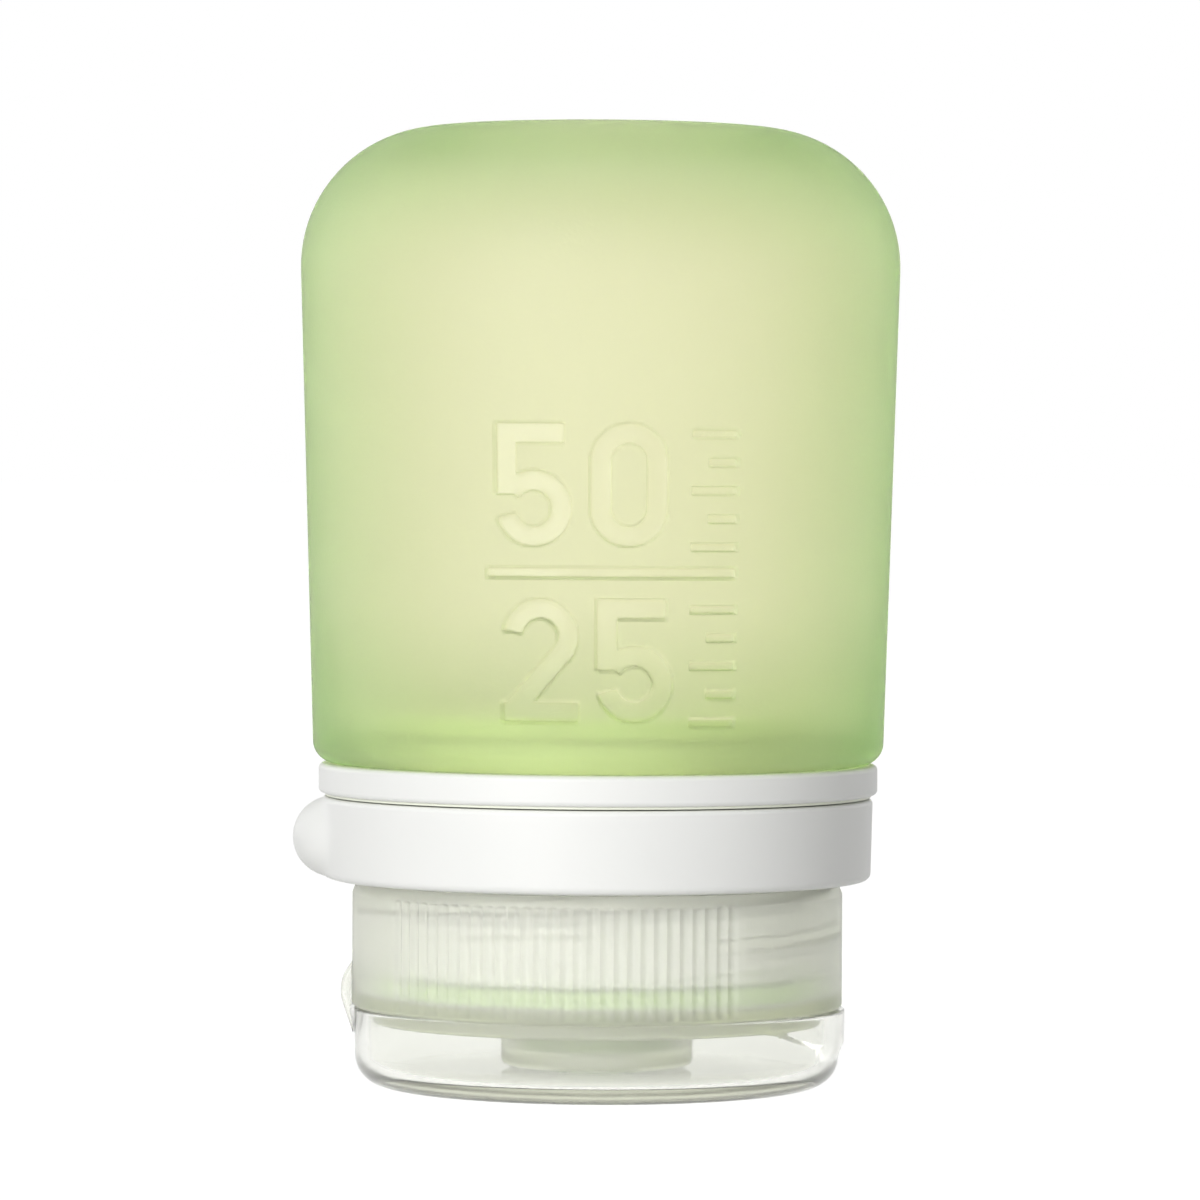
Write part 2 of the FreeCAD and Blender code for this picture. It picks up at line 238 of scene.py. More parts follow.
@dataclass(frozen=True)
class Finish:
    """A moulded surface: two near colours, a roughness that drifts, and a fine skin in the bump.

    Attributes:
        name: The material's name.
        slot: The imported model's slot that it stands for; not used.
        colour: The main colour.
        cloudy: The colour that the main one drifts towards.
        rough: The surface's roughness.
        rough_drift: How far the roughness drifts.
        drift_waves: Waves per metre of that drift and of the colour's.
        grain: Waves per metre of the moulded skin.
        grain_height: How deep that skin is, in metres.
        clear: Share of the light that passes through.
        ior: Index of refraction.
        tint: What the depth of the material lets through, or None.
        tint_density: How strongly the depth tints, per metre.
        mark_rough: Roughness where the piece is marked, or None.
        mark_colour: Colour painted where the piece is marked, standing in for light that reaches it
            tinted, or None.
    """

    name: str
    slot: Slot
    colour: Colour
    cloudy: Colour
    rough: float
    rough_drift: float = 0.06
    drift_waves: float = 140.0
    grain: float = 2500.0
    grain_height: float = 0.006 * MM
    clear: float = 0.0
    ior: float = 1.45
    tint: Colour | None = None
    tint_density: float = 0.0
    mark_rough: float | None = None
    mark_colour: Colour | None = None

    def material(self) -> bpy.types.Material:
        """Makes the material, or finds it if it was made before.

        Returns:
            The material.
        """
        found = bpy.data.materials.get(self.name)
        if found is not None:
            return found
        made = bpy.data.materials.new(self.name)
        shading = Shading.fresh(made)
        drift = shading.noise(self.drift_waves, DRIFT_DETAIL)
        skin = shading.noise(self.grain, SKIN_DETAIL)
        rough = self.rough - self.rough_drift / 2 + drift * self.rough_drift
        base = shading.blend(drift, self.colour, self.cloudy)
        if self.mark_rough is not None:
            mark = shading.mark()
            rough = rough * (1.0 - mark) + mark * self.mark_rough
        if self.mark_colour is not None:
            base = shading.blend(shading.mark(), base, self.mark_colour)
        bump = {"Strength": 1.0, "Distance": self.grain_height, "Height": skin}
        surface = shading.node("ShaderNodeBsdfPrincipled", None, {
            "Base Color": base,
            "Roughness": rough,
            "Normal": shading.node("ShaderNodeBump", None, bump),
            "IOR": self.ior,
            "Transmission Weight": self.clear,
        })
        ends = {"Surface": surface}
        if self.tint is not None:
            depth = {"Color": (*self.tint, 1.0), "Density": self.tint_density}
            ends["Volume"] = shading.node("ShaderNodeVolumeAbsorption", None, depth)
        shading.node("ShaderNodeOutputMaterial", None, ends)
        return made


GREEN_SILICONE = Finish(
    "translucent_silicone", Slot.GREEN, (1.0, 0.935, 0.86), (1.0, 0.930, 0.84), 0.56,
    grain=3200.0, grain_height=0.012 * MM, clear=0.9, ior=1.28,
    tint=(0.39, 0.74, 0.03), tint_density=66.0, mark_rough=0.10,
)
SEAL_SILICONE = Finish(
    "gasket_silicone", Slot.SEAL, (0.57, 0.76, 0.33), (0.55, 0.74, 0.31), 0.50,
    grain=3200.0, grain_height=0.010 * MM,
)
# A paler copy of the seal silicone for the washer: painted light, standing in for the light that
# the white rings round its gap bounce onto it.
BOUNCE_LIT_SILICONE = Finish(
    "washer_silicone", Slot.SEAL, (0.94, 0.97, 0.84), (0.93, 0.96, 0.82), 0.50,
    grain=3200.0, grain_height=0.010 * MM,
)
WHITE_RESIN = Finish(
    "white_resin", Slot.WHITE, (0.92, 0.92, 0.90), (0.89, 0.895, 0.875), 0.42, grain=2800.0,
)
FROSTED_RESIN = Finish(
    "frosted_resin", Slot.FROSTED, (0.985, 0.985, 0.95), (0.975, 0.98, 0.94), 0.34,
    clear=0.7, ior=1.20, tint=(0.86, 0.92, 0.52), tint_density=40.0,
)
# Its marked colour is painted light: the green of light that falls through the silicone onto the
# insert.
NATURAL_RESIN = Finish(
    "natural_resin", Slot.FROSTED, (0.985, 0.985, 0.96), (0.975, 0.98, 0.95), 0.34,
    clear=0.1, ior=1.30, mark_colour=(0.64, 0.785, 0.46),
)
CLEAR_RESIN = Finish(
    "clear_resin", Slot.CLEAR, (0.97, 0.975, 0.95), (0.955, 0.96, 0.93), 0.10, rough_drift=0.04,
    grain=600.0, grain_height=0.004 * MM, clear=0.93, ior=1.2,
    tint=(0.86, 0.88, 0.64), tint_density=22.0,
)


class Corner(NamedTuple):
    """A corner of a turned outline: radius, height and how round the corner is."""

    radius: float
    height: float
    turn: float = 0.0


@dataclass
class Outline:
    """The section of a turned piece.

    Attributes:
        corners: The section's corners in order.
        closed: True for a ring, False for a piece whose first and last corners are on the axis.
        step: Longest stretch between two points of the outline.
        fine_step: The same, between fine_low and fine_high on the outside.
        fine_low: Height where the fine stretch starts.
        fine_high: Height where it ends.
        fine_radius: The fine stretch holds only beyond this radius.
        arc_step: Largest turn between two points of a rounded corner.
    """

    corners: Sequence[Corner]
    closed: bool = True
    step: float = 1.2 * MM
    fine_step: float = 0.0
    fine_low: float = 0.0
    fine_high: float = 0.0
    fine_radius: float = 0.0
    arc_step: float = math.radians(9.0)

    def _stretch(self, start: Array, end: Array) -> list[Array]:
        """Points strictly between two ends, close together where the fine stretch asks for it.

        Args:
            start: First end.
            end: Last end.

        Returns:
            The points between.
        """
        length = float(np.linalg.norm(end - start))
        if length < NO_LENGTH:
            return []
        guard = min(CORNER_GUARD, length / 4)
        marks = [guard]
        while True:
            here = start + (end - start) * marks[-1] / length
            fine = self.fine_low < here[1] < self.fine_high and here[0] > self.fine_radius
            step = self.fine_step if fine and self.fine_step else self.step
            if marks[-1] + step > length - guard - step / 3:
                break
            marks.append(marks[-1] + step)
        marks.append(length - guard)
        return [start + (end - start) * mark / length for mark in marks]

    def points(self) -> Array:
        """The outline as points of radius and height, with its corners rounded.

        Returns:
            An array of shape (points, 2).
        """
        places = [np.array(corner[:2]) for corner in self.corners]
        count = len(places)
        arcs: list[list[Array]] = []
        for index, corner in enumerate(self.corners):
            if corner.turn <= 0:
                arcs.append([places[index]])
                continue
            back = places[index - 1] - places[index]
            ahead = places[(index + 1) % count] - places[index]
            back = back / np.linalg.norm(back)
            ahead = ahead / np.linalg.norm(ahead)
            half = math.acos(float(np.clip(back @ ahead, -1, 1))) / 2
            middle = (back + ahead) / np.linalg.norm(back + ahead)
            centre = places[index] + middle * corner.turn / math.sin(half)
            start = places[index] + back * corner.turn / math.tan(half) - centre
            end = places[index] + ahead * corner.turn / math.tan(half) - centre
            sweep = math.pi - 2 * half
            steps = max(FEWEST_STEPS, math.ceil(sweep / self.arc_step))
            turns = sweep * np.linspace(0, 1, steps + 1)
            arcs.append([
                centre + (math.sin(sweep - turn) * start + math.sin(turn) * end) / math.sin(sweep)
                for turn in turns
            ])
        line: list[Array] = []
        for index, arc in enumerate(arcs):
            line += arc
            if index + 1 < count or self.closed:
                line += self._stretch(arc[-1], arcs[(index + 1) % count][0])
        return np.array(line)


def even_angles(count: int) -> Array:
    """Angles evenly round the axis."""
    return np.linspace(-math.pi, math.pi, count, endpoint=False)


def soft_step(value: Array, width: float) -> Array:
    """0 below -width, 1 above width and smooth between."""
    share = np.clip((value / width + 1) / 2, 0, 1)
    return share * share * (3 - 2 * share)


def heights(node: str) -> tuple[float, float]:
    """Lowest and highest height of a CAD node."""
    low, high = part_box(node)
    return low.z, high.z


def link(name: str, data: bpy.types.ID) -> bpy.types.Object:
    """Makes an object and links it to the scene.

    Args:
        name: The object's name.
        data: Its mesh, lamp or camera.

    Returns:
        The object.
    """
    made = bpy.data.objects.new(name, data)
    bpy.context.scene.collection.objects.link(made)
    return made


def link_mesh(
    name: str, vertices: Array, faces: Faces, marks: Array | None = None
) -> bpy.types.Object:
    """Makes a smooth mesh object whose faces look outwards, without points that no face uses.

    Args:
        name: The piece's name.
        vertices: Its points, of shape (points, 3).
        faces: Its faces as tuples of point numbers.
        marks: How marked each point is, from 0 to 1, or None.

    Returns:
        The object, linked to the scene.
    """
    mesh = bpy.data.meshes.new(name)
    mesh.from_pydata(vertices.tolist(), [], faces)
    if marks is not None:
        layer = mesh.attributes.new(MARK, "FLOAT", "POINT")
        layer.data.foreach_set("value", marks.astype(np.float32).ravel())
    working = bmesh.new()
    working.from_mesh(mesh)
    bmesh.ops.recalc_face_normals(working, faces=working.faces)
    loose = [point for point in working.verts if not point.link_faces]
    bmesh.ops.delete(working, geom=loose, context="VERTS")
    working.to_mesh(mesh)
    working.free()
    mesh.polygons.foreach_set("use_smooth", [True] * len(mesh.polygons))
    mesh.set_sharp_from_angle(angle=SHARP_ANGLE)
    return link(name, mesh)


def turned(
    name: str,
    outline: Outline,
    angles: Array,
    shift: Shift | None = None,
    mark: Shift | None = None,
    whole: bool = True,
) -> bpy.types.Object:
    """Turns an outline about the axis.

    Args:
        name: The piece's name.
        outline: Its section.
        angles: Where round the axis its columns stand.
        shift: Gives how far each point moves outwards, from angle, radius and height.
        mark: Gives how marked each point is, from 0 to 1, from the same.
        whole: False for a part of a turn, which is closed at both ends.

    Returns:
        The piece.
    """
    line = outline.points()
    around = angles[:, None]
    radius, height = line[None, :, 0], line[None, :, 1]
    reach = radius + np.zeros_like(around)
    if shift is not None:
        reach = reach + shift(around, radius, height)
    grid = np.stack([
        reach * np.sin(around), -reach * np.cos(around), height + np.zeros_like(around)
    ], axis=2)
    columns, rows = reach.shape
    last = rows if outline.closed else rows - 1
    faces: Faces = []
    for column in range(columns if whole else columns - 1):
        here, beside = column * rows, (column + 1) % columns * rows
        for row in range(last):
            above = (row + 1) % rows
            corners = (here + row, beside + row, beside + above, here + above)
            if not outline.closed and row == 0:
                corners = (0, corners[2], corners[3])
            elif not outline.closed and row == last - 1:
                corners = (corners[0], corners[1], rows - 1)
            faces.append(corners)
    if not whole:
        end = (columns - 1) * rows
        faces += [tuple(range(rows)), tuple(range(end, end + rows))]
    marks = None if mark is None else mark(around, radius, height) + np.zeros_like(reach)
    return link_mesh(name, grid.reshape(-1, 3), faces, marks)


def dress(piece: bpy.types.Object, finish: Finish) -> None:
    """Gives a piece its finish's material, in place of the ones it had.

    Args:
        piece: The piece.
        finish: Its finish.
    """
    piece.data.materials.clear()
    piece.data.materials.append(finish.material())


def install(piece: bpy.types.Object, finish: Finish, body: Body, node: str) -> None:
    """Dresses a piece, puts it on its body and hides the CAD node that it replaces.

    Args:
        piece: The piece.
        finish: Its finish.
        body: The body that it rides on.
        node: The CAD node that it replaces.
    """
    dress(piece, finish)
    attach(piece, body.value)
    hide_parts(node)
    LOG.info("%s: %d faces, on %s, for %s", piece.name, len(piece.data.polygons), body.value, node)


def install_ring(
    name: str, finish: Finish, body: Body, node: str,
    radii: tuple[float, float], turns: Sequence[float], columns: int,
) -> None:
    """Makes a ring with four corners between the heights of its CAD node, and installs it.

    Args:
        name: The piece's name.
        finish: Its finish.
        body: The body that it rides on.
        node: The CAD node that it replaces.
        radii: Its inner and outer radius.
        turns: How round its corners are, from the lower inner one outwards.
        columns: How many columns it has round the axis.
    """
    (inside, outside), (low, high) = radii, heights(node)
    places = ((inside, low), (outside, low), (outside, high), (inside, high))
    outline = Outline([Corner(*place, turn) for place, turn in zip(places, turns)])
    install(turned(name, outline, even_angles(columns)), finish, body, node)


class Bar(NamedTuple):
    """A straight stroke of a numeral, in shares of the numeral's height."""

    x0: float
    y0: float
    x1: float
    y1: float

    def cover(self, x: Array, y: Array, width: float, edge: float) -> Array:
        """How far points are inside the stroke.

        Args:
            x: The points' places to the right.
            y: Their heights.
            width: The stroke's width.
            edge: Half the width of its soft border.

        Returns:
            For each point, from 0 outside to 1 inside.
        """
        length = math.hypot(self.x1 - self.x0, self.y1 - self.y0)
        along_x, along_y = (self.x1 - self.x0) / length, (self.y1 - self.y0) / length
        along = (x - self.x0) * along_x + (y - self.y0) * along_y
        across = (y - self.y0) * along_x - (x - self.x0) * along_y
        ends = soft_step(length / 2 - np.abs(along - length / 2), edge)
        return ends * soft_step(width / 2 - np.abs(across), edge)


class Bow(NamedTuple):
    """A round stroke of a numeral: centre, radius and the angles where it starts and ends."""

    x: float
    y: float
    radius: float
    start: float
    end: float

    def cover(self, x: Array, y: Array, width: float, edge: float) -> Array:
        """How far points are inside the stroke.

        Args:
            x: The points' places to the right.
            y: Their heights.
            width: The stroke's width.
            edge: Half the width of its soft border.

        Returns:
            For each point, from 0 outside to 1 inside.
        """
        far = np.hypot(x - self.x, y - self.y)
        middle = math.radians((self.start + self.end) / 2)
        half = math.radians((self.end - self.start) / 2)
        turn = np.arctan2(y - self.y, x - self.x) - middle
        turn = np.abs((turn + math.pi) % (2 * math.pi) - math.pi)
        ends = soft_step((half - turn) * self.radius, edge)
        return ends * soft_step(width / 2 - np.abs(far - self.radius), edge)


class Numeral(Enum):
    """The strokes of the plain numerals on the front."""

    ZERO = (
        Bow(0.31, 0.69, 0.225, -2.0, 182.0), Bow(0.31, 0.31, 0.225, 178.0, 362.0),
        Bar(0.085, 0.30, 0.085, 0.70), Bar(0.535, 0.30, 0.535, 0.70),
    )
    TWO = (
        Bow(0.31, 0.69, 0.225, -42.0, 172.0),
        Bar(0.535, 0.61, 0.09, 0.10), Bar(0.0, 0.085, 0.62, 0.085),
    )
    FIVE = (
        Bar(0.0, 0.915, 0.56, 0.915), Bar(0.085, 1.0, 0.085, 0.42),
        Bow(0.31, 0.31, 0.225, -166.0, 145.0),
    )


@dataclass
class SqueezeBody:
    """The silicone bottle: a thick turned shell, its base up, with numerals sunk in its front."""

    node: str = "squeeze_body"
    foot_radius: float = 22.0 * MM
    flare: float = 1.45 * MM
    side_wall: float = 3.2 * MM
    foot_wall: float = 4.3 * MM
    foot_ramp: float = 9.0 * MM
    ramp_round: float = 12.0 * MM
    flange_room: float = 1.8 * MM
    base_wall: float = 4.0 * MM
    base_middle: float = 1.6 * MM
    dome_inset: float = 0.5 * MM
    mouth_lip: float = 2.6 * MM
    base_round: float = 10.7 * MM
    foot_round: float = 1.7 * MM
    mouth_radius: float = 16.4 * MM
    mouth_round: float = 0.3 * MM
    seat_round: float = 0.05 * MM
    numeral_height: float = 9.2 * MM
    numeral_step: float = 7.0 * MM
    stroke_share: float = 0.165
    sink: float = 0.45 * MM
    sink_edge: float = 0.13 * MM
    upper_line: tuple[float, float] = (-7.7 * MM, 41.8 * MM)
    lower_line: tuple[float, float] = (-7.2 * MM, 28.8 * MM)
    rule_left: float = -8.4 * MM
    right: float = 10.4 * MM
    rule_height: float = 39.9 * MM
    rule_width: float = 0.8 * MM
    tick_long: float = 3.6 * MM
    tick_short: float = 2.3 * MM
    tick_width: float = 0.6 * MM
    tick_step: float = 2.1 * MM
    ticks_per_line: int = 5
    window_half_angle: float = math.radians(33.0)
    window_margin: float = 1.8 * MM
    fine: float = 0.16 * MM
    arc_step: float = math.radians(4.0)
    back_columns: int = 110
    dome_points: int = 12

    def outline(self) -> Outline:
        """The shell's section, from the middle of its base round the outside and back inside.

        Returns:
            The section.
        """
        low, high = heights(self.node)
        head = self.foot_radius + self.flare
        inside_round = self.base_round - self.side_wall
        lip_top = low + self.mouth_lip
        seat = self.foot_radius - self.foot_wall
        inside_high = high - self.base_wall
        ramp_share = self.foot_ramp / (inside_high - lip_top)
        ramp = self.foot_radius - self.side_wall + self.flare * ramp_share
        return Outline([
            Corner(0, high),
            Corner(head, high, self.base_round),
            Corner(self.foot_radius, low + HAIR_GAP, self.foot_round),
            Corner(self.mouth_radius, low + HAIR_GAP, self.mouth_round),
            Corner(self.mouth_radius, lip_top, self.mouth_round),
            Corner(seat, lip_top, self.seat_round),
            Corner(seat, lip_top + self.flange_room, self.ramp_round),
            Corner(ramp, lip_top + self.foot_ramp, self.ramp_round),
            Corner(head - self.side_wall, inside_high, inside_round),
            *self.inside_dome(high, head - self.side_wall - inside_round - self.dome_inset),
        ], closed=False, fine_step=self.fine, arc_step=self.arc_step,
            fine_radius=self.foot_radius - self.foot_round,
            fine_low=self.lower_line[1] - self.window_margin,
            fine_high=self.upper_line[1] + self.numeral_height + self.window_margin)

    def inside_dome(self, high: float, rim: float) -> list[Corner]:
        """The base's inner face, which domes away from the rim so that its middle is thinner.

        Args:
            high: Height of the base's outer face.
            rim: Radius where the dome starts.

        Returns:
            Points of the dome, from its rim to the axis.
        """
        rise = self.base_wall - self.base_middle
        sphere = (rim**2 + rise**2) / (2 * rise)
        radii = np.linspace(rim, 0, self.dome_points)
        foot = high - self.base_middle - sphere
        return [Corner(float(r), foot + math.sqrt(sphere**2 - r**2)) for r in radii]

    def angles(self) -> Array:
        """Columns round the shell, close together where the numerals are.

        Returns:
            Their angles round the axis.
        """
        fine = self.fine / self.foot_radius
        half = self.window_half_angle
        window = np.arange(-half, half, fine)
        rest = np.linspace(half, 2 * math.pi - half, self.back_columns, endpoint=False)
        return np.concatenate([window, rest])

    def numerals(self, around: Array, radius: Array, height: Array) -> Array:
        """How deep in the numerals, the rule and the ticks the shell's points are.

        Args:
            around: Angles round the axis.
            radius: Radii of the section's points.
            height: Their heights.

        Returns:
            For each point, from 0 beside the strokes to 1 inside them.
        """
        across = np.arctan2(np.sin(around), np.cos(around)) * self.foot_radius
        cover = np.zeros(np.broadcast_shapes(around.shape, height.shape))
        lines = (
            (self.upper_line, (Numeral.FIVE, Numeral.ZERO)),
            (self.lower_line, (Numeral.TWO, Numeral.FIVE)),
        )
        edge = self.sink_edge / self.numeral_height
        for (left, foot), numerals in lines:
            y = (height - foot) / self.numeral_height
            for place, numeral in enumerate(numerals):
                x = (across - left - place * self.numeral_step) / self.numeral_height
                for stroke in numeral.value:
                    cover = np.maximum(cover, stroke.cover(x, y, self.stroke_share, edge))
            for tick in range(self.ticks_per_line):
                long = self.tick_short if tick % 2 else self.tick_long
                at = foot + tick * self.tick_step
                bar = Bar(self.right - long, at, self.right, at)
                depth = bar.cover(across, height, self.tick_width, self.sink_edge)
                cover = np.maximum(cover, depth)
        rule = Bar(self.rule_left, self.rule_height, self.right, self.rule_height)
        cover = np.maximum(cover, rule.cover(across, height, self.rule_width, self.sink_edge))
        outside = radius > self.foot_radius - self.side_wall / 2
        return cover * outside

    def build(self) -> None:
        """Makes the shell and puts it on the bottle."""
        def sink(around: Array, radius: Array, height: Array) -> Array:
            """How far the numerals sink into the outside."""
            return -self.sink * self.numerals(around, radius, height)

        piece = turned("silicone_bottle", self.outline(), self.angles(), sink, self.numerals)
        install(piece, GREEN_SILICONE, Body.BOTTLE, self.node)


@dataclass
class ScrewThread:
    """One start of a rounded screw thread, as a ridge on a turned wall.

    Attributes:
        start: Height where the ridge begins at the front.
        turns: How many turns it makes.
        height: How far it stands out.
        crest: Width of its flat crest.
        flank: Width of each sloping side.
        fade: Share of a turn over which its ends run out.
    """

    start: float
    turns: float
    height: float = 0.8 * MM
    crest: float = 0.55 * MM
    flank: float = 0.4 * MM
    fade: float = 0.09

    def ridge(self, around: Array, height: Array) -> Array:
        """How far the ridge stands out of its wall.

        Args:
            around: Angles round the axis.
            height: Heights of the section's points.

        Returns:
            The distance at each angle and height.
        """
        out = np.zeros(np.broadcast_shapes(around.shape, height.shape))
        share = (around % (2 * math.pi)) / (2 * math.pi)
        for lap in range(math.ceil(self.turns) + 1):
            wound = share + lap
            middle = self.start + wound * THREAD_PITCH
            ends = soft_step(np.minimum(wound, self.turns - wound) - self.fade, self.fade)
            flank = self.flank / 2
            side = soft_step(self.crest / 2 + flank - np.abs(height - middle), flank)
            out = np.maximum(out, self.height * ends * side)
        return out


@dataclass
class Neck:
    """What holds the silicone's mouth: threaded neck insert, clamp collar and slip washer."""

    insert_node: str = "neck_insert"
    collar_node: str = "clamp_collar"
    washer_node: str = "slip_washer"
    bore_radius: float = 14.2 * MM
    radius: float = 16.3 * MM
    flange_radius: float = 17.6 * MM
    flange: float = 1.6 * MM
    bead_radius: float = 17.0 * MM
    bead_gap: float = 0.1 * MM
    bead: float = 0.5 * MM
    end_round: float = 0.4 * MM
    collar_bore_radius: float = 16.35 * MM
    collar_radius: float = 21.6 * MM
    collar_round: float = 0.4 * MM
    washer_radius: float = 21.1 * MM
    washer_round: float = 0.06 * MM
    # How much of the painted green light the sleeve gets, against the flange's full share.
    sleeve_light_share: float = 0.66
    thread_margin: float = 1.1 * MM
    thread_turns: float = 1.35
    thread_step: float = 0.14 * MM
    insert_columns: int = 180
    ring_columns: int = 200

    def insert(self) -> None:
        """Makes the threaded sleeve with its flange and retaining bead."""
        low, high = heights(self.insert_node)
        slope = self.bead_radius - self.radius
        bead_top = heights(SwivelRing.node)[0] - self.bead_gap
        bead_foot = bead_top - self.bead
        flange_foot = high - self.flange + HAIR_GAP
        outline = Outline([
            Corner(self.bore_radius, low, self.end_round),
            Corner(self.radius, low, self.end_round),
            Corner(self.radius, bead_foot - slope),
            Corner(self.bead_radius, bead_foot, self.bead / 4),
            Corner(self.bead_radius, bead_top, self.bead / 4),
            Corner(self.radius, bead_top),
            Corner(self.radius, flange_foot),
            Corner(self.flange_radius, flange_foot),
            Corner(self.flange_radius, high, self.end_round),
            Corner(self.bore_radius, high, self.end_round),
        ], fine_step=self.thread_step, fine_low=low, fine_high=bead_foot - slope)
        thread = ScrewThread(low + self.thread_margin, self.thread_turns)

        def shift(around: Array, radius: Array, height: Array) -> Array:
            """Raises the thread on the sleeve's outside, below the bead."""
            outside = (radius > self.radius - self.end_round) & (height < bead_foot - slope)
            return thread.ridge(around, height) * outside

        def painted_silicone_light(around: Array, radius: Array, height: Array) -> Array:
            """Marks what is inside the silicone and gets the silicone's green there as painted
            light falling through it, most on the flange.

            Args:
                around: Angles round the axis.
                radius: Radii of the section's points.
                height: Their heights.

            Returns:
                For each point, how marked it is, from 0 to 1.
            """
            on_flange = soft_step(height - high + self.flange, HAIR_GAP)
            depth = self.sleeve_light_share + (1 - self.sleeve_light_share) * on_flange
            return depth * soft_step(height - heights(self.collar_node)[1], self.bead)

        piece = turned("threaded_neck", outline, even_angles(self.insert_columns), shift, painted_silicone_light)
        install(piece, NATURAL_RESIN, Body.BOTTLE, self.insert_node)

    def rings(self) -> None:
        """Makes the clamp collar and the washer that the swivel ring turns against."""
        outer, inner = self.collar_round, self.collar_round / 2
        install_ring(
            "white_clamp_collar", WHITE_RESIN, Body.BOTTLE, self.collar_node,
            (self.collar_bore_radius, self.collar_radius),
            (inner, outer, outer, inner), self.ring_columns,
        )
        install_ring(
            "silicone_slip_washer", BOUNCE_LIT_SILICONE, Body.BOTTLE, self.washer_node,
            (self.collar_bore_radius, self.washer_radius),
            (self.washer_round,) * 4, self.ring_columns,
        )

    def build(self) -> None:
        """Makes the three pieces."""
        self.insert()
        self.rings()


@dataclass
class SwivelRing:
    """The loose white ring, a channel open towards the cap, with its bull-nosed thumb lug."""

    node: str = "swivel_ring"
    bore_radius: float = 16.4 * MM
    radius: float = 21.25 * MM
    hub_wall: float = 1.3 * MM
    wall: float = 1.6 * MM
    web: float = 1.5 * MM
    draft: float = 0.15 * MM
    top_round: float = 0.4 * MM
    foot_round: float = 0.6 * MM
    channel_round: float = 0.4 * MM
    lug_radius: float = 7.0 * MM
    lug_nose: float = 3.0 * MM
    lug_angle: float = math.radians(-90.0)
    lug_blend: float = 0.7 * MM
    fine: float = 0.25 * MM
    columns: int = 288

    def lug(self, around: Array, radius: Array, height: Array) -> Array:
        """How far the lug stands out of the ring's outside.

        Args:
            around: Angles round the axis.
            radius: Radii of the section's points.
            height: Their heights.

        Returns:
            The distance at each point, 0 far from the lug.
        """
        low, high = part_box(self.node)
        middle = (low.z + high.z) / 2
        centre = -low.x - self.lug_radius
        rise = np.clip(np.abs(height - middle), 0, self.lug_nose)
        plan = self.lug_radius - self.lug_nose + np.sqrt(self.lug_nose**2 - rise**2)
        turn = around - self.lug_angle
        inside = np.clip(plan**2 - (centre * np.sin(turn)) ** 2, 0, None)
        out = np.where(np.cos(turn) > 0, centre * np.cos(turn) + np.sqrt(inside), 0) - radius
        tip = -low.x - self.radius
        outside = soft_step(radius - self.radius + self.wall / 2, self.wall / 4)
        return tip * np.clip(self.swell(out) / self.swell(tip), 0, None) * outside

    def swell(self, out: Array | float) -> Array | float:
        """The lug's height over the ring with a soft foot, 0 far from the lug."""
        far = np.sqrt(self.radius**2 + self.lug_blend**2) - self.radius
        return (out + np.sqrt(np.square(out) + self.lug_blend**2) - far) / 2

    def build(self) -> None:
        """Makes the ring and puts it on its body."""
        low, high = heights(self.node)
        hub = self.bore_radius + self.hub_wall
        wall_inside = self.radius - self.wall
        web = high - self.web
        outline = Outline([
            Corner(wall_inside, low),
            Corner(self.radius - self.draft, low, self.foot_round),
            Corner(self.radius, high, self.top_round),
            Corner(self.bore_radius, high, self.channel_round / 2),
            Corner(self.bore_radius, low, self.channel_round / 2),
            Corner(hub, low, self.channel_round / 2),
            Corner(hub, web, self.channel_round),
            Corner(wall_inside, web, self.channel_round),
        ], fine_step=self.fine, fine_low=low, fine_high=high)
        piece = turned("thumb_ring", outline, even_angles(self.columns), self.lug)
        install(piece, WHITE_RESIN, Body.RING, self.node)


